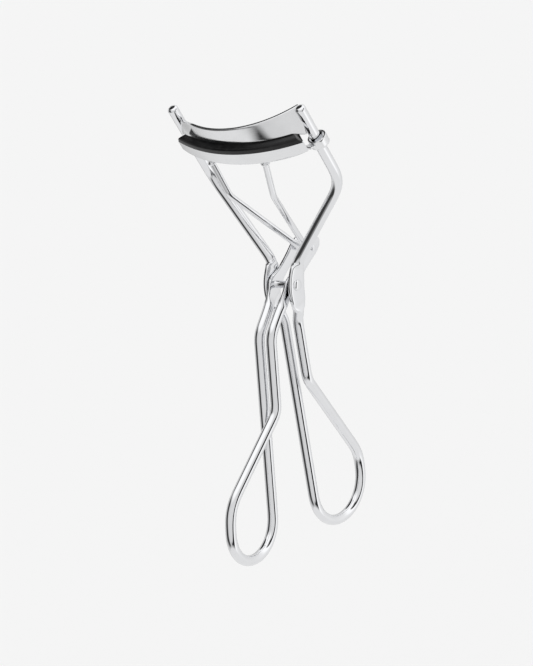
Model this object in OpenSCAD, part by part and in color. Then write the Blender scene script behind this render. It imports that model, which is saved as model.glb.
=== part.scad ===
// Eyelash curler: two bent-wire handles on one rivet, a fixed curved plate between two
// posts, and a sliding lower jaw with a rubber pad that a thin wire link pulls down.
// X runs across the jaw, Z up the length, -Y towards the side that the jaw bulges to.
// The origin is on the pivot axis, midway between the two sides.

/* [Wire] */
// Diameter of the wire of both handles
wire_d = 2.3; // [2:0.1:2.5]
// Diameter of the thin wire link
link_d = 1.35; // [1.2:0.05:1.5]

/* [Posts] */
// Spacing of the two posts, centre to centre
post_gap = 33.5; // [32:0.5:36]
// Angle by which the posts lean forward from the handle
post_lean = 28; // [24:1:30]
// Length of a post from the bend in the wire to its tip
post_l = 21.2; // [20.8:0.1:23]
// How far behind the pivot the posts begin
post_y = 3.6; // [3:0.1:4.2]
// How far above the pivot the posts begin
post_z = 22; // [20:0.5:24]

/* [Jaw] */
// Radius of the lower jaw's front face
jaw_r = 37; // [35:0.5:40]
// How far the jaw bulges forward of the posts
jaw_bulge = 8.5; // [8:0.1:9.2]
// How far the jaw sits to the right of the middle between the posts
jaw_shift = 1.2; // [0:0.1:1.4]
// Width of the jaw channel, front to back
channel_w = 4.2; // [3.8:0.1:4.6]
// Height of the jaw channel
channel_h = 3.2; // [2.8:0.1:3.6]
// Height of the closed jaw's underside above the bend in the posts
channel_n = 12.5; // [11.5:0.1:13]
// Height of the rubber pad above the channel's rim
pad_rise = 1.4; // [1:0.1:1.6]

/* [Upper plate] */
// Height of the upper plate
plate_h = 3.9; // [3.4:0.1:4.4]
// Thickness of the upper plate
plate_t = 0.7; // [0.6:0.1:1.2]
// Radius of the upper plate's top edge
plate_top_r = 22; // [21:0.5:26]
// Radius of the upper plate's bottom edge
plate_bottom_r = 34; // [30:0.5:38]

/* [Handles] */
// Length of the frame handle from the pivot to the bottom of its finger loop
frame_handle_l = 57.8; // [54:0.2:62]
// Width of the frame handle's finger loop, between wire centres
frame_loop_w = 16.6; // [14:0.2:18]
// Length of the lever handle from its kink to the bottom of its finger loop
lever_handle_l = 47.2; // [44:0.2:50]
// Width of the lever handle's finger loop, between wire centres
lever_loop_w = 15.8; // [14:0.2:18]
// Angle between the lever handle and the frame handle when closed
lever_lean = 8.1; // [6:0.1:10]

/* [Pivot] */
// Diameter of the pivot rivet's shank
rivet_d = 1.6; // [1.4:0.1:1.8]
// Diameter of the pivot rivet's heads
rivet_head_d = 2.5; // [2.2:0.1:2.8]
// Distance from the pivot to the holes that the link rods hook into
crank_l = 10.5; // [10:0.1:11]

/* [Hidden] */
$fn = 48;
eps = 0.01;
overlap = 0.05;
bend_thinner = 0.02;

wire_r = wire_d / 2;
link_r = link_d / 2;
post_x = post_gap / 2;
tip_dome_r = 1.7;

// Flattened stretches of wire at the pivot
ear_in = 2.75;
ear_t = 1.1;
ear_x = ear_in + ear_t / 2;
ear_half_w = 2.5;
ear_half_h = 4.9;
ear_mid = [-0.1, -0.5];
ear_arc_r = (pow(ear_half_h, 2) + pow(ear_half_w, 2)) / (2 * ear_half_w);
arm_foot = [ear_x, 1.9, 4.4];
ear_top = [ear_x, 0.9, 1];
ear_bottom = [ear_x, 0.2, -3.2];
neck_top = [ear_x, 0.3, -5];
arm_bend_r = 3.5;
post_bend_r = 5;

// Frame handle
frame_strand_x = 1.8;
frame_strand_y = 0.7;
neck_z = -8.2;
frame_join_z = -9.6;
frame_spread_z = -21.7;
frame_outer_z = -45.3;
spread_r = 4;
outer_r = 9;
outer_x = -0.4;
corner_x = -1.1;

// Lever handle, in its own directions: along the handle and outwards
lever_x = 1.55;
kink = [-8.9, -8.5];
kink_r = 4;
lever_start = 4.2;
lever_join = 4;
lever_spread = 16.5;
lever_outer = 34;
along = [-sin(lever_lean), -cos(lever_lean)];
outward = [-cos(lever_lean), sin(lever_lean)];

// Lever plates
lever_plate_t = 0.75;
lever_plate_in = 1.9;
crank_angle = 31;
pin_at = crank_l * [cos(crank_angle), sin(crank_angle)];
plate_tip_l = 3;
boss_r = 2.1;
pin_eye_r = 1.6;
arm_w = 2.6;
foot_l = 5.4;
foot_angle = atan2(kink[1], kink[0]);
running = 0.05;

// Jaw, in its own frame: x across, y towards the back, z up the posts
jaw_axis = jaw_bulge - jaw_r;
sheet_t = 0.5;
channel_angle = 26.5;
channel_back_r = jaw_r - channel_w;
pad_gap = 0.05;
pad_seat_n = channel_n + 1.4;
pad_top_n = channel_n + channel_h + pad_rise;
pad_edge = 0.45;
pad_angle = channel_angle - 0.3;
socket_x = 7.2;
socket_t = 6.7;
socket_r = 1.25;
eyelet_x = 0.3;
eyelet_in_r = 1.6;
eyelet_t = 0.45;
eyelet_out_r = eyelet_in_r + eyelet_t;
eyelet_drop = 1.6;
eyelet_lip = 0.12;
tab_w = 2.2;
tab_sunk = 0.4;
pad_clear = 0.15;

// Upper plate
plate_n = pad_top_n + 0.1;
plate_top_bulge = 6.9;
plate_bottom_bulge = 7.0;
plate_top_half = 16.5;
plate_bottom_half = 15.4;
plate_top_shift = -0.3;
plate_bottom_shift = 0.9;
plate_left_drop = 2.6;
plate_drop_from = 0.4;
plate_steps = 28;

// Thin wire link rods
link_bend = [5.8, -5.5, 21.3];
link_bend_r = 4;
link_elbow_x = 0.75;
link_elbow_r = 0.85;
hook_end_x = lever_plate_in + lever_plate_t + 0.25;
leg_tip_n = channel_n + 0.9;
leg_foot_n = channel_n - 0.4;
collar_r = 1;
collar_h = 0.6;

function unit(v) = v / norm(v);
function post_point(x, forward, up) = [
    x,
    post_y - up * sin(post_lean) - forward * cos(post_lean),
    post_z + up * cos(post_lean) - forward * sin(post_lean)
];
function lever_point(x, down, out) = [
    x,
    kink[0] + down * along[0] + out * outward[0],
    kink[1] + down * along[1] + out * outward[1]
];
function flip(points) = [for (p = points) [-p[0], p[1], p[2]]];

// Angles that turn local x to ex and local z to ez
function turn_to(ex, ey, ez) = abs(ex[2]) > 0.99999
    ? [atan2(-sign(ex[2]) * ey[0], ey[1]), -90 * sign(ex[2]), 0]
    : [atan2(ey[2], ez[2]), -asin(ex[2]), atan2(ex[1], ex[0])];

function corner_half(a, b, c) = acos(unit(a - b) * unit(c - b)) / 2;
function corner_cut(points, radii, i) = (i == 0 || i == len(points) - 1)
    ? 0
    : radii[i - 1] / tan(corner_half(points[i - 1], points[i], points[i + 1]));

// Round rod between two points
module rod(a, b, d) {
    run = b - a;
    translate(a)
        rotate([0, acos(run[2] / norm(run)), atan2(run[1], run[0])])
            cylinder(h = norm(run), d = d);
}

// Bend of radius r where the wire turns at b
module elbow(a, b, c, r, d) {
    u = unit(a - b);
    v = unit(c - b);
    half = corner_half(a, b, c);
    centre = b + unit(u + v) * r / sin(half);
    ex = unit(b + u * r / tan(half) - centre);
    ez = unit(cross(ex, -u));
    translate(centre)
        rotate(turn_to(ex, cross(ez, ex), ez))
            rotate_extrude(angle = 180 - 2 * half)
                translate([r, 0]) circle(d = d);
}

// Wire through the points, with a bend radius at each inner point. The straights run a
// hair into the bends, which are a hair thinner, so that every face crosses cleanly.
module bent_wire(points, radii, d) {
    last = len(points) - 1;
    for (i = [0 : last - 1]) {
        way = unit(points[i + 1] - points[i]);
        start = corner_cut(points, radii, i) - (i > 0 ? overlap : 0);
        end = corner_cut(points, radii, i + 1) - (i + 1 < last ? overlap : 0);
        rod(points[i] + way * start, points[i + 1] - way * end, d);
    }
    for (i = [1 : last - 1])
        elbow(points[i - 1], points[i], points[i + 1], radii[i - 1], d - bend_thinner);
}

// Turns a flat outline in y and z into a sheet of thickness t that starts at x
module side_sheet(x, t) {
    translate([x, 0, 0]) rotate([90, 0, 90]) linear_extrude(t) children();
}

module on_posts() {
    translate([0, post_y, post_z]) rotate([post_lean, 0, 0]) children();
}

module ear_outline() {
    translate(ear_mid) intersection() {
        translate([ear_arc_r - ear_half_w, 0]) circle(r = ear_arc_r);
        translate([ear_half_w - ear_arc_r, 0]) circle(r = ear_arc_r);
    }
}

module post_tip() {
    on_posts() translate([post_x, 0, post_l - wire_r - overlap])
        rotate_extrude() intersection() {
            square([wire_r - bend_thinner / 2, 2 * wire_r]);
            translate([0, wire_r + overlap - tip_dome_r]) circle(r = tip_dome_r);
        }
}

// Post, arm and flattened ear of the frame wire, on the +x side
module frame_side() {
    difference() {
        union() {
            bent_wire([
                post_point(post_x, 0, post_l - wire_r),
                post_point(post_x, 0, 0),
                arm_foot,
                ear_top
            ], [post_bend_r, arm_bend_r], wire_d);
            post_tip();
            side_sheet(ear_in, ear_t) ear_outline();
            bent_wire([
                ear_bottom,
                neck_top,
                [frame_strand_x, frame_strand_y, neck_z],
                [frame_strand_x, frame_strand_y, frame_join_z]
            ], [1.5, 1.5], wire_d);
        }
        translate([-1, -5, -6]) cube([ear_in + 1, 10, 11.5]);
        translate([ear_in + ear_t, -5, -5]) cube([wire_d, 10, 8.5]);
        translate([ear_in - 1, 0, 0]) rotate([0, 90, 0]) cylinder(h = ear_t + 2, d = rivet_d);
    }
}

module frame_right_side() {
    color("silver") frame_side();
}

module frame_left_side() {
    color("silver") mirror([1, 0, 0]) frame_side();
}

module frame_finger_loop() {
    outer_y = frame_strand_y + frame_loop_w;
    bottom_r = frame_loop_w / 2 - 0.1;
    color("silver") bent_wire([
        [frame_strand_x, frame_strand_y, frame_join_z],
        [frame_strand_x, frame_strand_y, frame_spread_z],
        [outer_x, outer_y, frame_outer_z],
        [corner_x, outer_y, -frame_handle_l],
        [-frame_strand_x, frame_strand_y, -frame_handle_l],
        [-frame_strand_x, frame_strand_y, frame_join_z]
    ], [spread_r, outer_r, bottom_r, bottom_r], wire_d);
}

// Point on one edge of the upper plate, share runs from -1 to 1 along it
function edge_point(radius, bulge, half_w, shift, depth, n, share) =
    let (a = share * asin(half_w / radius), r = radius - depth)
    post_point(shift + r * sin(a), bulge - radius + r * cos(a), n);

// The top edge falls towards the left post
function left_fall(share) =
    let (s = max(0, (-share - plate_drop_from) / (1 - plate_drop_from)))
    plate_left_drop * s * s * (3 - 2 * s);
function top_edge(depth, share) = edge_point(
    plate_top_r, plate_top_bulge, plate_top_half, plate_top_shift, depth,
    plate_n + plate_h - left_fall(share), share);
function bottom_edge(depth, share) = edge_point(
    plate_bottom_r, plate_bottom_bulge, plate_bottom_half, plate_bottom_shift, depth, plate_n, share);

module upper_plate() {
    points = [
        for (i = [0 : plate_steps])
            let (s = 2 * i / plate_steps - 1)
            each [top_edge(0, s), top_edge(plate_t, s), bottom_edge(plate_t, s), bottom_edge(0, s)]
    ];
    last = 4 * plate_steps;
    color("gainsboro") polyhedron(points, [
        [3, 2, 1, 0],
        [last, last + 1, last + 2, last + 3],
        for (i = [0 : plate_steps - 1], k = [0 : 3])
            let (a = 4 * i + k, b = 4 * i + (k + 1) % 4)
            each [[a, b, b + 4], [a, b + 4, a + 4]]
    ]);
}

module pivot_rivet() {
    out = ear_in + ear_t;
    head_h = 0.55;
    cap_r = (pow(head_h, 2) + pow(rivet_head_d / 2, 2)) / (2 * head_h);
    color("silver") rotate([0, 90, 0]) union() {
        translate([0, 0, -out]) cylinder(h = 2 * out, d = rivet_d);
        for (side = [0, 1]) mirror([0, 0, side]) translate([0, 0, out])
            rotate_extrude() intersection() {
                square([rivet_head_d / 2, head_h]);
                translate([0, head_h - cap_r]) circle(r = cap_r);
            }
    }
}

// Flat bar with round ends between two points of the side plane
module bar(a, b, w) {
    run = b - a;
    translate(a) rotate(atan2(run[1], run[0])) {
        translate([0, -w / 2]) square([norm(run), w]);
        translate([norm(run), 0]) circle(d = w);
    }
}

// Flattened arm with its two holes, and the wire down to the handle, on the +x side
module lever_arm() {
    tip = pin_at + (plate_tip_l - arm_w / 2) * unit(pin_at);
    foot = foot_l * [cos(foot_angle), sin(foot_angle)];
    difference() {
        union() {
            side_sheet(lever_plate_in, lever_plate_t) {
                circle(r = boss_r);
                translate(pin_at) circle(r = pin_eye_r);
                bar([0, 0], tip, arm_w);
                bar([0, 0], foot, wire_d);
            }
            bent_wire([
                [lever_x, lever_start * cos(foot_angle), lever_start * sin(foot_angle)],
                [lever_x, kink[0], kink[1]],
                lever_point(lever_x, lever_join, 0)
            ], [kink_r], wire_d);
        }
        rotate([0, 90, 0]) cylinder(h = 2 * ear_in, r = rivet_d / 2 + running);
        translate([0, pin_at[0], pin_at[1]]) rotate([0, 90, 0])
            cylinder(h = 2 * ear_in, r = link_r + running);
    }
}

module lever_right_arm() {
    color("silver") lever_arm();
}

module lever_left_arm() {
    color("silver") mirror([1, 0, 0]) lever_arm();
}

module lever_finger_loop() {
    bottom_r = lever_loop_w / 2 - 0.1;
    color("silver") bent_wire([
        lever_point(lever_x, lever_join, 0),
        lever_point(lever_x, lever_spread, 0),
        lever_point(outer_x, lever_outer, lever_loop_w),
        lever_point(corner_x, lever_handle_l, lever_loop_w),
        lever_point(-lever_x, lever_handle_l, 0),
        lever_point(-lever_x, lever_join, 0)
    ], [spread_r, outer_r, bottom_r, bottom_r], wire_d);
}

// Sweeps a profile of radius and height along the jaw's curve, between two angles from
// its middle
module jaw_sweep(from, to) {
    on_posts() translate([jaw_shift, -jaw_axis, 0]) rotate([0, 0, from - 90])
        rotate_extrude(angle = to - from) children();
}

// Round column of radius r along a post's guide eyelet, between two heights
module eyelet_column(side, r, from, to) {
    on_posts() translate([side * post_x + eyelet_x, 0, from]) cylinder(h = to - from, r = r);
}

module jaw_channel() {
    color("lightgray") difference() {
        jaw_sweep(-channel_angle, channel_angle) difference() {
            translate([channel_back_r, channel_n]) square([channel_w, channel_h]);
            translate([channel_back_r + sheet_t, channel_n + sheet_t])
                square([channel_w - 2 * sheet_t, channel_h]);
        }
        for (side = [-1, 1]) {
            on_posts() translate([side * socket_x, -socket_t, channel_n - 1])
                cylinder(h = sheet_t + 2, r = socket_r);
            eyelet_column(side, eyelet_out_r - tab_sunk, channel_n - 1, pad_top_n);
        }
    }
}

module lash_pad() {
    stem_w = channel_w - 2 * sheet_t - 2 * pad_gap;
    rim_n = channel_n + channel_h;
    color("black") difference() {
        jaw_sweep(-pad_angle, pad_angle) {
            translate([channel_back_r + sheet_t + pad_gap, pad_seat_n])
                square([stem_w, rim_n - pad_seat_n + eps]);
            polygon([
                [channel_back_r, rim_n],
                [jaw_r, rim_n],
                [jaw_r, pad_top_n - pad_edge],
                [jaw_r - pad_edge, pad_top_n],
                [channel_back_r + pad_edge, pad_top_n],
                [channel_back_r, pad_top_n - pad_edge]
            ]);
        }
        for (side = [-1, 1]) eyelet_column(side, eyelet_out_r + pad_clear, channel_n, pad_top_n + 1);
    }
}

// Sheet eyelet that slides on a post, with the tab that joins it to the channel
module guide_eyelet(side) {
    eyelet_angle = asin((side * post_x + eyelet_x - jaw_shift) / (channel_back_r + tab_w / 2));
    low = min(side * (channel_angle - tab_sunk), eyelet_angle);
    high = max(side * (channel_angle - tab_sunk), eyelet_angle);
    difference() {
        union() {
            eyelet_column(side, eyelet_out_r, channel_n - eyelet_drop, channel_n + sheet_t + eyelet_lip);
            jaw_sweep(low, high) translate([channel_back_r, channel_n]) square([tab_w, sheet_t]);
        }
        eyelet_column(side, eyelet_in_r, channel_n - eyelet_drop - 1, channel_n + 1.5);
    }
}

module right_guide_eyelet() {
    color("silver") guide_eyelet(1);
}

module left_guide_eyelet() {
    color("silver") guide_eyelet(-1);
}

// Thin rod from its socket in the jaw to its hook in the lever's plate, on the +x side
module link_rod() {
    foot = post_point(socket_x, socket_t, leg_foot_n);
    head = post_point(socket_x, socket_t, leg_tip_n);
    bent_wire([
        head,
        foot,
        link_bend,
        [link_elbow_x, pin_at[0], pin_at[1]],
        [hook_end_x, pin_at[0], pin_at[1]]
    ], [1.5, link_bend_r, link_elbow_r], link_d);
    on_posts() translate([socket_x, -socket_t, leg_foot_n - collar_h])
        cylinder(h = collar_h, r = collar_r);
}

module link_right_rod() {
    color("silver") link_rod();
}

module link_left_rod() {
    color("silver") mirror([1, 0, 0]) link_rod();
}

frame_right_side();
frame_left_side();
frame_finger_loop();
upper_plate();
pivot_rivet();
lever_right_arm();
lever_left_arm();
lever_finger_loop();
jaw_channel();
lash_pad();
right_guide_eyelet();
left_guide_eyelet();
link_right_rod();
link_left_rod();
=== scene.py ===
import math

import bmesh
import bpy
import numpy as np
from mathutils import Matrix, Vector


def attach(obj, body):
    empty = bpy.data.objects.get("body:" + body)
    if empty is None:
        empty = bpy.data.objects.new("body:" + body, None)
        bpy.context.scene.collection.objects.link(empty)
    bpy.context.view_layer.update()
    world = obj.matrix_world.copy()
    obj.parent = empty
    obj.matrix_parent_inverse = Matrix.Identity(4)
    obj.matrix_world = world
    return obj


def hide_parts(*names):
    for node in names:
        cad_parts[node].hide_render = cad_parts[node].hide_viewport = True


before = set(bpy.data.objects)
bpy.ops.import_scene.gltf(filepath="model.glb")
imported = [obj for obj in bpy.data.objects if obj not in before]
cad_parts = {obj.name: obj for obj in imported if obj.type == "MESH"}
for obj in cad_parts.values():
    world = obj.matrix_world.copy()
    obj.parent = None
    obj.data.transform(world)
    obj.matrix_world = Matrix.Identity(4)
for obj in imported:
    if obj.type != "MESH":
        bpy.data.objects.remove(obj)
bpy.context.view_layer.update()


mm = 0.001

# The curler stands with its pivot at the origin: x across the jaw, z up, -y towards the bulge of the jaw.

yoke = {
    "postGap": 33.5, "postLean": 28.0, "foot": (3.6, 22.0), "postLength": 21.2,
    "wire": 1.15,          # radius
    "domeHeight": 0.55,
    "armFoot": (3.3, 1.9, 4.5), "earHeart": (3.3, 0.0, -0.6), "neck": (3.2, 0.2, -4.7),
    "earHalfWidth": 2.5, "earHalfThick": 0.55, "earReach": 4.9, "earFade": 1.6,
    "earLens": 2.2, "earSquare": 2.5,      # how full the ear's outline is, and how square its section
    "strandX": 1.8, "strandY": 0.7, "strandTop": -8.3, "spread": -21.7,
    "loopWidth": 16.6, "shoulder": -45.3, "bottom": -57.8,
    "overX": (-0.4, -1.1),
    "bends": (7.5, 3.0, 6.0, 2.5, 2.0, 4.0, 9.0, 8.2, 8.2, 2.0, 2.5, 6.0, 3.0, 7.5),    # radii, in order
}


def unit(v):
    return v / np.linalg.norm(v, axis=-1, keepdims=True)


# A place given by its distance forward of the posts' plane and up along the posts.
def onPosts(x, forward, up):
    lean = math.radians(yoke["postLean"])
    y0, z0 = yoke["foot"]
    x, forward, up = np.broadcast_arrays(x, forward, up)
    return np.stack([x,
                     y0 - up * math.sin(lean) - forward * math.cos(lean),
                     z0 + up * math.cos(lean) - forward * math.sin(lean)], axis=-1).astype(float)


# Straight runs joined by circular bends tangent to both, taken at even steps. Each place is then the
# bell-weighted mean of its neighbours, so that the bends start gently, as they do in drawn wire.
def bentPath(corners, radii, step=0.25, ease=0.9):
    corners = np.array(corners, float)
    parts = [corners[:1]]
    for before, corner, after, radius in zip(corners[:-2], corners[1:-1], corners[2:], radii):
        back, onward = unit(before - corner), unit(after - corner)
        half = math.acos(np.clip(back @ onward, -1, 1)) / 2
        if half > math.radians(89.7):    # the run goes almost straight on
            continue
        centre = corner + unit(back + onward) * radius / math.sin(half)
        first = corner + back * radius / math.tan(half)
        turn = np.linspace(0, math.pi - 2 * half, 40)[:, None]
        parts.append(centre + np.cos(turn) * (first - centre) - np.sin(turn) * radius * back)
    path = np.concatenate(parts + [corners[-1:]])
    path = evenly(path, step)
    reach = int(round(3 * ease / step))
    bell = np.exp(-0.5 * (np.arange(-reach, reach + 1) * step / ease) ** 2)
    bell /= bell.sum()
    head = 2 * path[0] - path[reach:0:-1]
    tail = 2 * path[-1] - path[-2:-reach - 2:-1]
    padded = np.concatenate([head, path, tail])
    return np.stack([np.convolve(padded[:, k], bell, "valid") for k in range(3)], axis=-1)


# The same line, at even distances along it.
def evenly(path, step):
    far = lengthAlong(path)
    at = np.linspace(0, far[-1], int(round(far[-1] / step)) + 1)
    return np.stack([np.interp(at, far, path[:, k]) for k in range(3)], axis=-1)


def lengthAlong(path):
    return np.concatenate([[0], np.cumsum(np.linalg.norm(np.diff(path, axis=0), axis=1))])


# 0 before 0, 1 after 1, and three x squared less two x cubed between.
def ease01(x):
    x = np.clip(x, 0, 1)
    return x * x * (3 - 2 * x)


# vertices are in millimetres. drawn gives each vertex its place in the pattern that follows the surface.
def makePiece(name, vertices, faces, drawn=None, smooth=True):
    mesh = bpy.data.meshes.new(name)
    mesh.from_pydata((np.asarray(vertices) * mm).tolist(), [], faces)
    mesh.update()
    if drawn is not None:
        layer = mesh.attributes.new("drawn", "FLOAT_VECTOR", "POINT")
        layer.data.foreach_set("vector", np.asarray(drawn, np.float32).ravel())
    mesh.polygons.foreach_set("use_smooth", np.full(len(mesh.polygons), smooth))
    piece = bpy.data.objects.new(name, mesh)
    bpy.context.scene.collection.objects.link(piece)
    return piece


# Four-sided faces between neighbouring closed rings of vertices.
def ringFaces(rings, around):
    row = np.arange(rings - 1)[:, None] * around
    col = np.arange(around)[None, :]
    nxt = (col + 1) % around
    quads = np.stack([row + col, row + nxt, row + around + nxt, row + around + col], axis=-1)
    return quads.reshape(-1, 4).tolist()


# The same, closed with a fan of triangles over each end. The two poles come after the rings' vertices.
def closedFaces(rings, around):
    col = np.arange(around)
    nxt = (col + 1) % around
    pole = rings * around
    last = pole - around
    start = np.stack([nxt, col, np.full(around, pole)], axis=-1)
    stop = np.stack([last + col, last + nxt, np.full(around, pole + 1)], axis=-1)
    return ringFaces(rings, around) + start.tolist() + stop.tolist()


domePower = 0.75         # the lower, the fuller the dome at a wire's end


# A section carried along a path. Its half sizes, thin along the reference direction and wide across it,
# and its squareness change from place to place: cosine and sine of the angle round it, each raised to
# two over the squareness. Both ends close in a dome whose rings shrink as a power of a cosine.
def sweptWire(name, path, reference, thin, wide, square, sides=36, dome=0.55):
    tangent = unit(np.gradient(path, axis=0))
    reference = np.broadcast_to(np.asarray(reference, float), path.shape)
    flat = unit(reference - (reference * tangent).sum(1, keepdims=True) * tangent)
    cross = np.cross(tangent, flat)
    steps = np.linspace(0, math.pi / 2, 9)[1:-1]

    def capRings(k, sign):
        grow = np.cos(steps) ** domePower
        centre = path[k] + sign * np.sin(steps)[:, None] * dome * tangent[k]
        n = len(steps)
        return (centre, np.repeat(flat[k:k + 1] if k >= 0 else flat[-1:], n, 0),
                np.repeat(cross[k:k + 1] if k >= 0 else cross[-1:], n, 0),
                thin[k] * grow, wide[k] * grow, np.full(n, square[k]))

    first = [a[::-1] for a in capRings(0, -1)]
    last = capRings(-1, 1)
    body = (path, flat, cross, thin, wide, square)
    centre, flat, cross, thin, wide, square = [np.concatenate(p) for p in zip(first, body, last)]
    angle = np.linspace(0, 2 * math.pi, sides, endpoint=False)[None, :]
    power = 2 / square[:, None]
    c = np.sign(np.cos(angle)) * np.abs(np.cos(angle)) ** power
    s = np.sign(np.sin(angle)) * np.abs(np.sin(angle)) ** power
    rings = (centre[:, None, :] + (thin[:, None] * c)[..., None] * flat[:, None, :]
             + (wide[:, None] * s)[..., None] * cross[:, None, :])
    poles = np.stack([path[0] - dome * tangent[0], path[-1] + dome * tangent[-1]])
    vertices = np.concatenate([rings.reshape(-1, 3), poles])
    far = lengthAlong(centre)
    drawn = np.stack(np.broadcast_arrays(np.cos(angle), np.sin(angle), far[:, None]), axis=-1).reshape(-1, 3)
    drawn = np.concatenate([drawn, [[0, 0, far[0]], [0, 0, far[-1]]]])
    return makePiece(name, vertices, closedFaces(len(rings), sides), drawn)


def newMaterial(name):
    material = bpy.data.materials.new(name)
    material.use_nodes = True
    tree = material.node_tree
    shader = next(n for n in tree.nodes if n.type == "BSDF_PRINCIPLED")
    return material, tree, shader


def addNode(tree, kind, inputs=None, **settings):
    node = tree.nodes.new(kind)
    for key, value in settings.items():
        setattr(node, key, value)
    for key, value in (inputs or {}).items():
        if hasattr(value, "is_output"):
            tree.links.new(value, node.inputs[key])
        else:
            node.inputs[key].default_value = value
    return node


def noise(tree, place, scale, detail, roughness=0.5):
    return addNode(tree, "ShaderNodeTexNoise",
                   {"Vector": place, "Scale": scale, "Detail": detail, "Roughness": roughness}).outputs[0]


# Gives the shader a colour that goes from one tint to another with share.
def tintShader(tree, shader, share, tint, other):
    mixed = addNode(tree, "ShaderNodeMix", {"Factor": share}, data_type="RGBA")
    mixed.inputs["A"].default_value = (*tint, 1)
    mixed.inputs["B"].default_value = (*other, 1)
    tree.links.new(mixed.outputs["Result"], shader.inputs["Base Color"])


def dulled(tint, share):
    return tuple(c * share for c in tint)


# A colour ramp in greys: stops are pairs of position and brightness.
def ramp(tree, factor, stops):
    node = addNode(tree, "ShaderNodeValToRGB", {"Fac": factor})
    elements = node.color_ramp.elements
    while len(elements) < len(stops):
        elements.new(0.5)
    for element, (at, grey) in zip(elements, stops):
        element.position = at
    for element, (at, grey) in zip(elements, stops):
        element.color = (grey, grey, grey, 1)
    return node.outputs["Color"]


def mapRange(tree, value, fromLow, fromHigh, toLow, toHigh):
    node = addNode(tree, "ShaderNodeMapRange", {"Value": value, "From Min": fromLow, "From Max": fromHigh,
                                                "To Min": toLow, "To Max": toHigh})
    return node.outputs["Result"]


wireFinish = {
    "tint": (0.86, 0.865, 0.88), "dullTo": 0.93, "dullShare": 0.35, "roughLow": 0.02, "roughHigh": 0.07,
    "lineScale": 9.0, "lineStretch": 0.02, "cloudScale": 420.0, "speckScale": 5200.0,
    "lineDepth": 0.1, "speckDepth": 0.25, "deepest": 0.04 * mm,
}


# Bright plate on drawn wire: faint lines run along it, soft cloudy patches dull it, and fine specks pit it.
def chromedWire(name, finish=wireFinish):
    material, tree, shader = newMaterial(name)
    shader.inputs["Metallic"].default_value = 1.0
    drawn = addNode(tree, "ShaderNodeAttribute", attribute_name="drawn").outputs["Vector"]
    place = addNode(tree, "ShaderNodeTexCoord").outputs["Object"]
    stretch = (1, 1, finish["lineStretch"])
    lengthwise = addNode(tree, "ShaderNodeMapping", {"Vector": drawn, "Scale": stretch}).outputs["Vector"]
    lines = noise(tree, lengthwise, finish["lineScale"], 5.0, 0.6)
    clouds = noise(tree, place, finish["cloudScale"], 3.0)
    specks = noise(tree, place, finish["speckScale"], 1.0)
    rough = mapRange(tree, clouds, 0.35, 0.7, finish["roughLow"], finish["roughHigh"])
    tree.links.new(rough, shader.inputs["Roughness"])
    tintShader(tree, shader, mapRange(tree, clouds, 0.3, 0.75, 0, finish["dullShare"]),
               finish["tint"], dulled(finish["tint"], finish["dullTo"]))
    pits = mapRange(tree, specks, 0.68, 0.8, 0, -finish["speckDepth"])
    both = addNode(tree, "ShaderNodeMath", {0: lines, 1: pits}, operation="ADD").outputs[0]
    bump = addNode(tree, "ShaderNodeBump",
                   {"Strength": finish["lineDepth"], "Distance": finish["deepest"], "Height": both})
    tree.links.new(bump.outputs[0], shader.inputs["Normal"])
    return material


sheetFinish = {
    "tint": (0.85, 0.855, 0.865), "dullTo": 0.94, "dullShare": 0.4, "roughLow": 0.07, "roughHigh": 0.17,
    "waveScale": 160.0, "markScale": 700.0, "markStretch": 14, "markTurn": 28, "hazeScale": 380.0,
    "waveStrength": 0.25, "waveDepth": 0.2 * mm, "markStrength": 0.08, "markDepth": 0.03 * mm,
}


# Bright plate on pressed sheet: slow waves from the press, polishing marks across it and a little haze.
def chromedSheet(name, finish=sheetFinish):
    material, tree, shader = newMaterial(name)
    shader.inputs["Metallic"].default_value = 1.0
    place = addNode(tree, "ShaderNodeTexCoord").outputs["Object"]
    stretch, turn = (1, 1, finish["markStretch"]), (math.radians(finish["markTurn"]), 0, 0)
    across = addNode(tree, "ShaderNodeMapping",
                     {"Vector": place, "Scale": stretch, "Rotation": turn}).outputs["Vector"]
    waves = noise(tree, place, finish["waveScale"], 1.0)
    marks = noise(tree, across, finish["markScale"], 4.0, 0.65)
    haze = noise(tree, place, finish["hazeScale"], 4.0)
    rough = mapRange(tree, haze, 0.35, 0.7, finish["roughLow"], finish["roughHigh"])
    tree.links.new(rough, shader.inputs["Roughness"])
    tintShader(tree, shader, mapRange(tree, haze, 0.4, 0.75, 0, finish["dullShare"]),
               finish["tint"], dulled(finish["tint"], finish["dullTo"]))
    slow = addNode(tree, "ShaderNodeBump",
                   {"Strength": finish["waveStrength"], "Distance": finish["waveDepth"], "Height": waves})
    fine = addNode(tree, "ShaderNodeBump",
                   {"Strength": finish["markStrength"], "Distance": finish["markDepth"],
                    "Height": marks, "Normal": slow.outputs[0]})
    tree.links.new(fine.outputs[0], shader.inputs["Normal"])
    return material


rubberFinish = {
    "tint": (0.004, 0.004, 0.0045), "worn": (0.013, 0.013, 0.013), "specular": 0.35,
    "roughLow": 0.26, "roughHigh": 0.42, "grainScale": 4200.0, "dustScale": 600.0,
    "grainStrength": 0.25, "grainDepth": 0.03 * mm,
}


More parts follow.
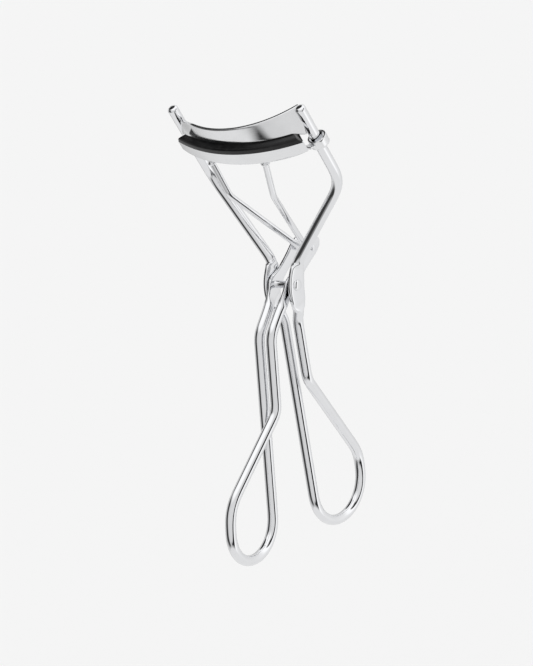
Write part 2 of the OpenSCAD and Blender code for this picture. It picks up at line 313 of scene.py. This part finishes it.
# Black moulded rubber: satin, with a fine grain, and paler dusty patches.
def softRubber(name, finish=rubberFinish):
    material, tree, shader = newMaterial(name)
    shader.inputs["Specular IOR Level"].default_value = finish["specular"]
    place = addNode(tree, "ShaderNodeTexCoord").outputs["Object"]
    grain = noise(tree, place, finish["grainScale"], 3.0)
    dust = noise(tree, place, finish["dustScale"], 5.0, 0.6)
    tintShader(tree, shader, mapRange(tree, dust, 0.5, 0.8, 0, 1), finish["tint"], finish["worn"])
    rough = mapRange(tree, dust, 0.3, 0.8, finish["roughLow"], finish["roughHigh"])
    tree.links.new(rough, shader.inputs["Roughness"])
    bump = addNode(tree, "ShaderNodeBump",
                   {"Strength": finish["grainStrength"], "Distance": finish["grainDepth"], "Height": grain})
    tree.links.new(bump.outputs[0], shader.inputs["Normal"])
    return material


def finishPiece(piece, body, slot, material, *nodes):
    piece.data.materials.append(material)
    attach(piece, body)
    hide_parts(*nodes)
    return piece


wireChrome = chromedWire("wireChrome")
sheetChrome = chromedSheet("sheetChrome")
padRubber = softRubber("padRubber")
print("finishes made")


# One wire from post tip to post tip: post, arm, flattened ear, neck, finger loop, and the same back.
# The ear's half width rises and falls as a lens along the wire while its thickness is pressed thin.
def frameWire():
    y = yoke
    half = y["postGap"] / 2
    outer = y["strandY"] + y["loopWidth"]
    side = [onPosts(half, 0, y["postLength"] - y["domeHeight"]), onPosts(half, 0, 0), y["armFoot"],
            y["earHeart"], y["neck"], (y["strandX"], y["strandY"], y["strandTop"])]
    mirror = [np.array(p) * (-1, 1, 1) for p in side[::-1]]
    loop = [(y["strandX"], y["strandY"], y["spread"]), (y["overX"][0], outer, y["shoulder"]),
            (y["overX"][1], outer, y["bottom"]), (-y["strandX"], y["strandY"], y["bottom"])]
    path = bentPath([*side, *loop, *mirror], y["bends"])
    below = path[:, 2] - y["earHeart"][2]
    inEar = (np.abs(below) < 2 * y["earReach"]) & (np.abs(path[:, 0]) > y["strandX"] + y["wire"] / 4)
    lens = np.where(inEar, np.sqrt(np.clip(1 - (np.abs(below) / y["earReach"]) ** y["earLens"], 0, 1)), 0)
    pressed = np.where(inEar, ease01((y["earReach"] + y["earFade"] / 4 - np.abs(below)) / y["earFade"]), 0)
    thin = y["wire"] + (y["earHalfThick"] - y["wire"]) * pressed
    wide = y["wire"] + (y["earHalfWidth"] - y["wire"]) * lens
    square = 2 + y["earSquare"] * pressed
    return sweptWire("frameWire", path, (1, 0, 0), thin, wide, square, dome=y["domeHeight"])


finishPiece(frameWire(), "frame", "chrome_wire", wireChrome,
            "frame_right_side", "frame_left_side", "frame_finger_loop")
print("frame wire made")


lever = {
    "wire": 1.15, "strandX": 1.58, "plateX": 2.275, "plateHalfThick": 0.375,
    "crankAngle": 31.0, "crank": 10.5, "tip": 13.4,
    "plateHalfWidth": 1.3, "rivetSwell": 0.8, "hookSwell": 0.3, "rivetSpread": 2.2, "hookSpread": 2.4,
    "pressedFrom": -5.4, "pressedOver": 2.2, "tipFrom": 1.7, "tipRound": 1.75, "plateSquare": 3.0,
    "dome": 0.06,
    "kink": (-8.9, -8.5), "lean": 8.1,
    "spread": 16.5, "loopWidth": 15.8, "shoulder": 34.0, "bottom": 47.2,
    "overX": (-0.4, -1.0),
    "bends": (14, 10, 4, 3.5, 9, 7.8, 7.8, 4, 10, 14),
}


# A place given by its distance down the lever's handle from the kink, and outwards from it.
def alongLever(x, down, out):
    lean = math.radians(lever["lean"])
    y0, z0 = lever["kink"]
    return (x, y0 - down * math.sin(lean) - out * math.cos(lean),
            z0 - down * math.cos(lean) + out * math.sin(lean))


# One wire from plate tip to plate tip: pressed flat at the hook and the rivet, then round from below the
# rivet, through the kink and round the finger loop. The plate's half width rises as a bell at each pin.
def leverWire():
    v = lever
    crank = math.radians(v["crankAngle"])
    tip = (v["plateX"], v["tip"] * math.cos(crank), v["tip"] * math.sin(crank))
    heart = (v["plateX"], 0, 0)
    kink = np.array([v["strandX"], *v["kink"]])
    swell = np.array([v["strandX"], *(np.array(v["kink"]) * 0.5)])
    loop = [alongLever(v["strandX"], v["spread"], 0),
            alongLever(v["overX"][0], v["shoulder"], v["loopWidth"]),
            alongLever(v["overX"][1], v["bottom"], v["loopWidth"]),
            alongLever(-v["strandX"], v["bottom"], 0)]
    side = [tip, heart, swell, kink]
    mirror = [np.array(p) * (-1, 1, 1) for p in side[::-1]]
    path = bentPath([*side, *loop, *mirror], v["bends"])
    tipward = np.sign(path[:, 1] * math.cos(crank) + path[:, 2] * math.sin(crank))
    reach = np.hypot(path[:, 1], path[:, 2]) * tipward
    pressed = ease01((reach - v["pressedFrom"]) / v["pressedOver"])
    atRivet = np.exp(-(reach / v["rivetSpread"]) ** 2)
    atHook = np.exp(-((reach - v["crank"]) / v["hookSpread"]) ** 2)
    flatWide = v["plateHalfWidth"] + v["rivetSwell"] * atRivet + v["hookSwell"] * atHook
    pastRound = np.clip(reach - v["tip"] + v["tipFrom"], 0, None) / v["tipRound"]
    tipRound = np.sqrt(np.clip(1 - pastRound ** 2, 0.02, 1))
    wide = v["wire"] + (flatWide * tipRound - v["wire"]) * pressed
    thin = v["wire"] + (v["plateHalfThick"] - v["wire"]) * pressed
    square = 2 + v["plateSquare"] * pressed
    return sweptWire("leverWire", path, (1, 0, 0), thin, wide, square, dome=v["dome"])


finishPiece(leverWire(), "lever", "chrome_wire", wireChrome,
            "lever_right_arm", "lever_left_arm", "lever_finger_loop")
print("lever wire made")

linkRod = {
    "radius": 0.675, "socket": (7.2, 6.6, 12.9), "bend": (5.8, -5.5, 21.3), "elbowX": 0.75, "hookEnd": 2.9,
    "bends": (4.0, 0.85),
    "collar": (1.1, 0.28),               # how far below the rod's top, and half its length
    "collarSwell": 0.32,
    "seamWay": (0, 0.74, 0.67),          # across the rod, where the pattern round it starts
    "sides": 24, "dome": 0.1,
}


# A thin rod: down from the jaw, back to the lever, and hooked outwards through the lever's plate. Its
# radius swells by a steep bell at the collar under the jaw. side is 1 on the right, -1 on the left.
def thinRod(name, side):
    w = linkRod
    x, forward, up = w["socket"]
    crank = math.radians(lever["crankAngle"])
    pinY, pinZ = lever["crank"] * math.cos(crank), lever["crank"] * math.sin(crank)
    corners = [onPosts(x, forward, up), w["bend"], (w["elbowX"], pinY, pinZ), (w["hookEnd"], pinY, pinZ)]
    path = bentPath([np.array(p) * (side, 1, 1) for p in corners], w["bends"], step=0.1, ease=0.2)
    middle, halfLong = w["collar"]
    size = w["radius"] + w["collarSwell"] * np.exp(-((lengthAlong(path) - middle) / halfLong) ** 6)
    square = np.full(len(path), 2.0)
    return sweptWire(name, path, w["seamWay"], size, size, square, sides=w["sides"], dome=w["dome"])


finishPiece(thinRod("rightLinkRod", 1), "right_link", "chrome_wire", wireChrome, "link_right_rod")
finishPiece(thinRod("leftLinkRod", -1), "left_link", "chrome_wire", wireChrome, "link_left_rod")
print("link rods made")

rivet = {
    "shank": 0.8, "head": 1.25,          # radii
    "headHeight": 0.5, "face": 3.85, "underFace": 0.3, "crownRound": 0.6, "sides": 40,
}


# A shank between two low domed heads: the radius falls from the head's rim to its crown as a cosine.
def rivetBody():
    r = rivet
    turn = np.linspace(0, math.pi / 2, 10)
    crownX = r["face"] + r["headHeight"] * np.sin(turn)
    crownR = r["head"] * np.cos(turn) ** r["crownRound"]
    xs = np.concatenate([[r["face"] - r["underFace"]], [r["face"]], crownX[:-1]])
    rs = np.concatenate([[r["shank"]], [r["head"]], crownR[:-1]])
    path = np.concatenate([-xs[::-1], xs])
    radii = np.concatenate([rs[::-1], rs])
    angle = np.linspace(0, 2 * math.pi, r["sides"], endpoint=False)[None, :]
    path, radii = path[:, None], radii[:, None]
    rings = np.stack(np.broadcast_arrays(path, radii * np.cos(angle), radii * np.sin(angle)), axis=-1)
    end = r["face"] + r["headHeight"]
    vertices = np.concatenate([rings.reshape(-1, 3), [[-end, 0, 0], [end, 0, 0]]])
    drawn = np.stack(np.broadcast_arrays(np.cos(angle), np.sin(angle), path), axis=-1).reshape(-1, 3)
    drawn = np.concatenate([drawn, [[0, 0, -end], [0, 0, end]]])
    return makePiece("pivotRivet", vertices, closedFaces(len(path), r["sides"]), drawn)


finishPiece(rivetBody(), "frame", "chrome_wire", wireChrome, "pivot_rivet")
print("rivet made")


# A closed outline of a rectangle from (0, 0) to (width, height) with rounded corners, anticlockwise.
# sides gives the points along its upright and its level sides.
def roundedLoop(width, height, radius, per=6, sides=(8, 8)):
    corners = [(width - radius, radius, -90), (width - radius, height - radius, 0),
               (radius, height - radius, 90), (radius, radius, 180)]
    points = []
    for k, (cx, cy, a0) in enumerate(corners):
        a = np.radians(a0 + np.linspace(0, 90, per))
        points.append(np.stack([cx + radius * np.cos(a), cy + radius * np.sin(a)], axis=-1))
        nx, ny, na = corners[(k + 1) % 4]
        start = points[-1][-1]
        stop = np.array([nx + radius * math.cos(math.radians(na)), ny + radius * math.sin(math.radians(na))])
        share = np.linspace(0, 1, sides[k % 2] + 1)[1:-1, None]
        points.append(start + share * (stop - start))
    return np.concatenate(points)


# Closed rings, one after another, with a flat fan over each end.
def bandPiece(name, rings):
    count, around, _ = rings.shape
    vertices = np.concatenate([rings.reshape(-1, 3), rings[0].mean(0)[None], rings[-1].mean(0)[None]])
    return makePiece(name, vertices, closedFaces(count, around))


bandSteps = 141          # rings along each curved band


# Keeps the sharp corners of a smooth mesh sharp, and turns its faces outwards.
def sharpAndOutward(piece, angle=35):
    work = bmesh.new()
    work.from_mesh(piece.data)
    bmesh.ops.recalc_face_normals(work, faces=work.faces)
    work.to_mesh(piece.data)
    work.free()
    with bpy.context.temp_override(object=piece, active_object=piece, selected_editable_objects=[piece]):
        bpy.ops.object.shade_smooth_by_angle(angle=math.radians(angle))


plate = {
    "bottomN": 17.2, "height": 3.9, "thick": 0.7, "edgeRound": 0.2,
    # half width, radius, bulge and shift to the right of each edge
    "top": (16.5, 22.0, 6.9, -0.3), "bottom": (15.4, 34.0, 7.0, 0.9),
    "leftDrop": 2.6, "leftDropFrom": 0.4,                # the upper edge falls towards the left post
    "lugDrop": 1.5, "lugFrom": 0.9, "lugAside": 0.9, "lugBack": 0.9,    # the lower corners hang as short lugs
}


# A ruled band between two arcs, one above the other: the upper arc is rounder, so that the ends lean
# back. Depth is measured towards each arc's centre. The edges fall towards the ends as eased steps.
def plateBand():
    p = plate
    outline = roundedLoop(p["thick"], p["height"], p["edgeRound"], per=6, sides=(14, 3))
    depth, up = p["thick"] - outline[:, 0], outline[:, 1] / p["height"]
    share = np.linspace(-1, 1, bandSteps)[:, None]

    def edge(half, radius, bulge, shift, n):
        a = share * math.asin(half / radius)
        r = radius - depth[None, :]
        return onPosts(shift + r * np.sin(a), bulge - radius + r * np.cos(a), n)

    lug = ease01((np.abs(share) - p["lugFrom"]) / (1 - p["lugFrom"]))
    fall = ease01((-share - p["leftDropFrom"]) / (1 - p["leftDropFrom"]))
    low = edge(*p["bottom"], p["bottomN"] - p["lugDrop"] * lug)
    low += lug[..., None] * (onPosts(p["lugAside"] * np.sign(share), -p["lugBack"], 0) - onPosts(0, 0, 0))
    high = edge(*p["top"], p["bottomN"] + p["height"] - p["leftDrop"] * fall)
    return bandPiece("upperPlate", low + up[None, :, None] * (high - low))


jaw = {
    "radius": 37.0, "bulge": 8.5, "shift": 1.2, "halfAngle": 26.5, "width": 4.2, "bottom": 12.5, "rim": 15.7,
    "slant": 2.6,          # degrees by which the back of each end stops short of its front
    "sheet": 0.5, "fold": 0.75,
    "endRise": 0.5, "endPower": 8,       # the floor rises towards each end, as a power of the way there
}


# A place on the jaw: an angle from its middle, a radius from the axis of its curve, a height up the posts.
def jawPlace(angle, radius, up):
    forward = jaw["bulge"] - jaw["radius"] + radius * np.cos(angle)
    return onPosts(jaw["shift"] + radius * np.sin(angle), forward, up)


# Angles along the jaw for each place of an outline. Each end is cut on a slant: from front to back the
# half angle falls in a straight line.
def jawAngles(halfAngle, radius):
    behind = (jaw["radius"] - radius) / jaw["width"]
    return np.linspace(-1, 1, bandSteps)[:, None] * np.radians(halfAngle - jaw["slant"] * behind)[None, :]


# The trough's section is one line of sheet, down the front, round two folds and up the back, drawn
# twice, a sheet's thickness apart, and carried round the jaw's curve.
def channelBand():
    j = jaw
    front, back, bottom, rim = j["radius"], j["radius"] - j["width"], j["bottom"], j["rim"]

    def skin(inset):
        turn = np.radians(np.linspace(0, 90, 9))
        f, b, low, r = front - inset, back + inset, bottom + inset, max(j["fold"] - inset, 0.05)
        down = np.stack([np.full(9, f), np.linspace(rim, low + r, 10)[:-1]], axis=-1)
        one = np.stack([f - r + r * np.cos(-turn), low + r + r * np.sin(-turn)], axis=-1)
        floor = np.stack([np.linspace(f - r, b + r, 6)[1:-1], np.full(4, low)], axis=-1)
        two = np.stack([b + r - r * np.sin(turn), low + r - r * np.cos(turn)], axis=-1)
        up = np.stack([np.full(9, b), np.linspace(low + r, rim, 10)[1:]], axis=-1)
        return np.concatenate([down, one, floor, two, up])

    outer, inner = skin(0), skin(j["sheet"])
    outline = np.concatenate([outer, inner[::-1]])
    nearEnd = np.abs(np.linspace(-1, 1, bandSteps)) ** j["endPower"]
    rise = j["endRise"] * nearEnd[:, None] * ((rim - outline[:, 1]) / (rim - bottom))[None, :]
    angles = jawAngles(j["halfAngle"], outline[:, 0])
    rings = jawPlace(angles, outline[None, :, 0], outline[None, :, 1] + rise)
    count, around, _ = rings.shape
    faces = ringFaces(count, around)
    i = np.arange(len(outer) - 1)
    cap = np.stack([i, i + 1, around - 2 - i, around - 1 - i], axis=-1)
    faces += cap[:, ::-1].tolist()
    faces += (cap + (count - 1) * around).tolist()
    return makePiece("jawChannel", rings.reshape(-1, 3), faces)


pad = {
    "top": 17.05, "seat": 13.9, "round": 0.45, "sheetGap": 0.06, "rimGap": 0.02,
    "halfAngle": 26.2, "endLean": 1.3,   # degrees
}


# A cap with rounded edges over the rim and a stem down inside the trough, as one closed section. Its
# ends lean inwards above the rim, and draw in a little more towards the front.
def padBand():
    j, p = jaw, pad
    front, back, rim = j["radius"], j["radius"] - j["width"], j["rim"]
    wall = j["sheet"] + p["sheetGap"]
    turn = np.radians(np.linspace(0, 90, 8))
    r = p["round"]
    top = p["top"]
    frontTop = np.stack([front - r + r * np.cos(turn), top - r + r * np.sin(turn)], axis=-1)
    backTop = np.stack([back + r - r * np.sin(turn), top - r + r * np.cos(turn)], axis=-1)
    across = np.stack([np.linspace(front - r, back + r, 12)[1:-1], np.full(10, top)], axis=-1)
    under = rim + p["rimGap"]
    stem = np.array([(back, under), (back + wall, under), (back + wall, p["seat"]), (front - wall, p["seat"]),
                     (front - wall, under), (front, under)])
    outline = np.concatenate([frontTop, across, backTop, stem])
    lean = p["endLean"] * np.clip((outline[:, 1] - rim) / (top - rim), 0, 1)
    angles = jawAngles(p["halfAngle"] - lean, outline[:, 0])
    rings = jawPlace(angles, outline[None, :, 0], outline[None, :, 1])
    return bandPiece("lashPad", rings)


for build, body, slot, material, node in (
        (plateBand, "frame", "chrome_sheet", sheetChrome, "upper_plate"),
        (channelBand, "lower_jaw", "chrome_sheet", sheetChrome, "jaw_channel"),
        (padBand, "lower_jaw", "pad_rubber", padRubber, "lash_pad")):
    piece = build()
    sharpAndOutward(piece)
    finishPiece(piece, body, slot, material, node)
print("plate, channel and pad made")

eyelet = {
    "aside": 0.3, "inner": 1.6, "sheet": 0.45, "bottom": 10.9, "top": 13.0, "edgeRound": 0.12, "around": 72,
    "tabHalfWidth": 1.15, "tabHalfThick": 0.24, "tabUp": 12.75, "tabDip": 0.5, "tabTaper": 0.25,
    "tabSquare": 5.0, "tabSteps": 14,
    "tabFrom": {1: (16.3, 3.3), -1: (-13.6, 2.7)},    # across and forward, where each tab leaves the jaw
}


# A closed ring: a rounded rectangle of sheet turned once round the post.
def eyeletRing(name, side):
    e = eyelet
    outline = roundedLoop(e["sheet"], e["top"] - e["bottom"], e["edgeRound"], per=4, sides=(5, 2))
    radius, up = e["inner"] + outline[:, 0], e["bottom"] + outline[:, 1]
    turn = np.linspace(0, 2 * math.pi, e["around"], endpoint=False)[:, None]
    centre = side * yoke["postGap"] / 2 + e["aside"]
    rings = onPosts(centre + radius * np.cos(turn), radius * np.sin(turn), up)
    row = np.arange(e["around"])[:, None]
    col = np.arange(len(outline))[None, :]
    rowOn, colOn = (row + 1) % e["around"], (col + 1) % len(outline)
    here, onward = row * len(outline), rowOn * len(outline)
    quads = np.stack([here + col, here + colOn, onward + colOn, onward + col], axis=-1)
    return makePiece(name, rings.reshape(-1, 3), quads.reshape(-1, 4).tolist())


# A flat strip from the end of the jaw's floor into the ring's wall, dipping as it goes.
def eyeletTab(name, side):
    e = eyelet
    x, forward = e["tabFrom"][side]
    centre = side * yoke["postGap"] / 2 + e["aside"]
    toRing = np.array([centre - x, -forward])
    stop = np.array([x, forward]) + toRing * (1 - (e["inner"] + e["sheet"] / 2) / np.linalg.norm(toRing))
    steps = e["tabSteps"]
    along = np.linspace(0, 1, steps)
    up = e["tabUp"] - e["tabDip"] * ease01(along)
    path = onPosts(x + along * (stop[0] - x), forward + along * (stop[1] - forward), up)
    postWay = onPosts(0, 0, 1) - onPosts(0, 0, 0)
    wide = e["tabHalfWidth"] * (1 - e["tabTaper"] * along)
    thick, square = np.full(steps, e["tabHalfThick"]), np.full(steps, e["tabSquare"])
    return sweptWire(name, path, postWay, thick, wide, square, dome=0.1)


for word, side in (("right", 1), ("left", -1)):
    ring = eyeletRing(word + "GuideEyelet", side)
    sharpAndOutward(ring)
    finishPiece(ring, "lower_jaw", "chrome_sheet", sheetChrome, word + "_guide_eyelet")
    tab = eyeletTab(word + "EyeletTab", side)
    tab.data.materials.append(sheetChrome)
    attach(tab, "lower_jaw")
print("guide eyelets made")

camera = {
    "azimuth": 39.37,      # degrees round from the front, towards +x
    "elevation": 16.86,    # degrees above the level
    "roll": 9.59,          # the top of the curler leans to the left by this much
    "distance": 515.6,     # mm from the pivot
    "aside": (-3.523, -10.355),   # mm that the camera stands to the right of the pivot and above it
    "lens": 163.1,
    "sensor": 36.0,
}


def placeCamera():
    c = camera
    az, el, roll = (math.radians(c[k]) for k in ("azimuth", "elevation", "roll"))
    toward = Vector((math.sin(az) * math.cos(el), -math.cos(az) * math.cos(el), math.sin(el)))
    level = Vector((math.cos(az), math.sin(az), 0))
    upright = toward.cross(level)
    right = level * math.cos(roll) - upright * math.sin(roll)
    up = upright * math.cos(roll) + level * math.sin(roll)
    spot = right * c["aside"][0] + up * c["aside"][1] + toward * c["distance"]
    data = bpy.data.cameras.new("camera")
    data.sensor_fit = "HORIZONTAL"
    data.sensor_width = c["sensor"]
    data.lens = c["lens"]
    data.clip_start, data.clip_end = 0.01, 50
    view = bpy.data.objects.new("camera", data)
    turn = Matrix((right, up, toward)).transposed()
    view.matrix_world = Matrix.Translation(spot * mm) @ turn.to_4x4()
    bpy.context.scene.collection.objects.link(view)
    bpy.context.scene.camera = view
    return right, toward


studio = {
    "backdrop": 0.913,     # linear brightness of the pale ground
    "floorZ": -0.165, "floorRadius": 9.0,     # in metres
    "groundWhite": 0.87,
    # brightness against nearness to the viewer's own direction: 0 straight behind the curler, 1 at the viewer
    "rightWall": [(0, 0.7), (0.3, 0.84), (0.47, 0.92), (0.57, 1.15), (0.65, 1.15), (0.69, 0.02),
                  (0.82, 0.015), (0.86, 0.74), (1, 0.78)],
    "leftWall": [(0, 0.5), (0.24, 0.75), (0.36, 0.3), (0.46, 0.05), (0.70, 0.04), (0.78, 0.70), (1, 0.78)],
    "wallsMeet": [(0.42, 0), (0.58, 1)],     # from all left to all right, against nearness to the right
    # the pale floor: its share against height, as far as which nearness to the viewer, and where it is whole
    "low": 0.84, "lowShare": [(0.12, 1), (0.32, 0)], "lowUntil": [(0.50, 1), (0.58, 0)],
    "lowest": [(0.15, 1), (0.22, 0)],
    "high": 1.15, "highShare": [(0.8, 0), (0.92, 1)],
    "darkFlag": (-0.61, 0.17, 0.78), "flagGrey": 0.03, "flagShare": [(0.955, 0), (0.972, 1)],
}


# A wide round floor in one pale grey.
def paleGround():
    material, tree, shader = newMaterial("paleGround")
    white = studio["groundWhite"]
    shader.inputs["Base Color"].default_value = (white, white, white, 1)
    shader.inputs["Roughness"].default_value = 1.0
    shader.inputs["Specular IOR Level"].default_value = 0.0
    angle = np.linspace(0, 2 * math.pi, 96, endpoint=False)
    ring = np.stack([np.cos(angle), np.sin(angle), 0 * angle], axis=-1) * studio["floorRadius"]
    ring[:, 2] = studio["floorZ"]
    floor = makePiece("ground", ring / mm, [list(range(96))], smooth=False)
    floor.data.materials.append(material)
    floor.visible_glossy = False


# Even light for the ground. For the chrome: white walls with a dark band on each side of the viewer, a
# pale floor and ceiling, and a small dark flag high up behind on the left.
def studioLight(right, toward):
    world = bpy.data.worlds.new("studio")
    bpy.context.scene.world = world
    world.use_nodes = True
    tree = world.node_tree
    tree.nodes.clear()
    way = addNode(tree, "ShaderNodeTexCoord").outputs["Generated"]

    def nearness(direction):
        along = tuple(Vector(direction).normalized())
        dot = addNode(tree, "ShaderNodeVectorMath", {0: way, 1: along}, operation="DOT_PRODUCT")
        return mapRange(tree, dot.outputs["Value"], -1, 1, 0, 1)

    def over(amount, under, cover):
        mixed = addNode(tree, "ShaderNodeMix", {"Factor": amount, "A": under}, data_type="RGBA")
        if hasattr(cover, "is_output"):
            tree.links.new(cover, mixed.inputs["B"])
        else:
            mixed.inputs["B"].default_value = (cover, cover, cover, 1)
        return mixed.outputs["Result"]

    front, height = nearness(toward), nearness((0, 0, 1))
    walls = over(ramp(tree, nearness(right), studio["wallsMeet"]),
                 ramp(tree, front, studio["leftWall"]), ramp(tree, front, studio["rightWall"]))
    down, away = ramp(tree, height, studio["lowShare"]), ramp(tree, front, studio["lowUntil"])
    floorward = addNode(tree, "ShaderNodeMath", {0: down, 1: away}, operation="MULTIPLY").outputs[0]
    underneath = ramp(tree, height, studio["lowest"])
    pale = addNode(tree, "ShaderNodeMath", {0: floorward, 1: underneath}, operation="MAXIMUM").outputs[0]
    grounded = over(pale, walls, studio["low"])
    roofed = over(ramp(tree, height, studio["highShare"]), grounded, studio["high"])
    onFlag = ramp(tree, nearness(studio["darkFlag"]), studio["flagShare"])
    flagged = over(onFlag, roofed, studio["flagGrey"])
    rays = addNode(tree, "ShaderNodeLightPath")
    plain = addNode(tree, "ShaderNodeMix", {"Factor": rays.outputs["Is Camera Ray"]}, data_type="RGBA")
    even = studio["backdrop"] / studio["groundWhite"]
    plain.inputs["A"].default_value = (even, even, even, 1)
    seen = studio["backdrop"]
    plain.inputs["B"].default_value = (seen, seen, seen, 1)
    final = addNode(tree, "ShaderNodeMix", {"Factor": rays.outputs["Is Glossy Ray"],
                                            "A": plain.outputs["Result"], "B": flagged}, data_type="RGBA")
    background = addNode(tree, "ShaderNodeBackground", {"Color": final.outputs["Result"], "Strength": 1.0})
    output = addNode(tree, "ShaderNodeOutputWorld")
    tree.links.new(background.outputs[0], output.inputs["Surface"])


right, toward = placeCamera()
paleGround()
studioLight(right, toward)
bpy.context.scene.view_settings.view_transform = "Standard"
print("camera, ground and light made")
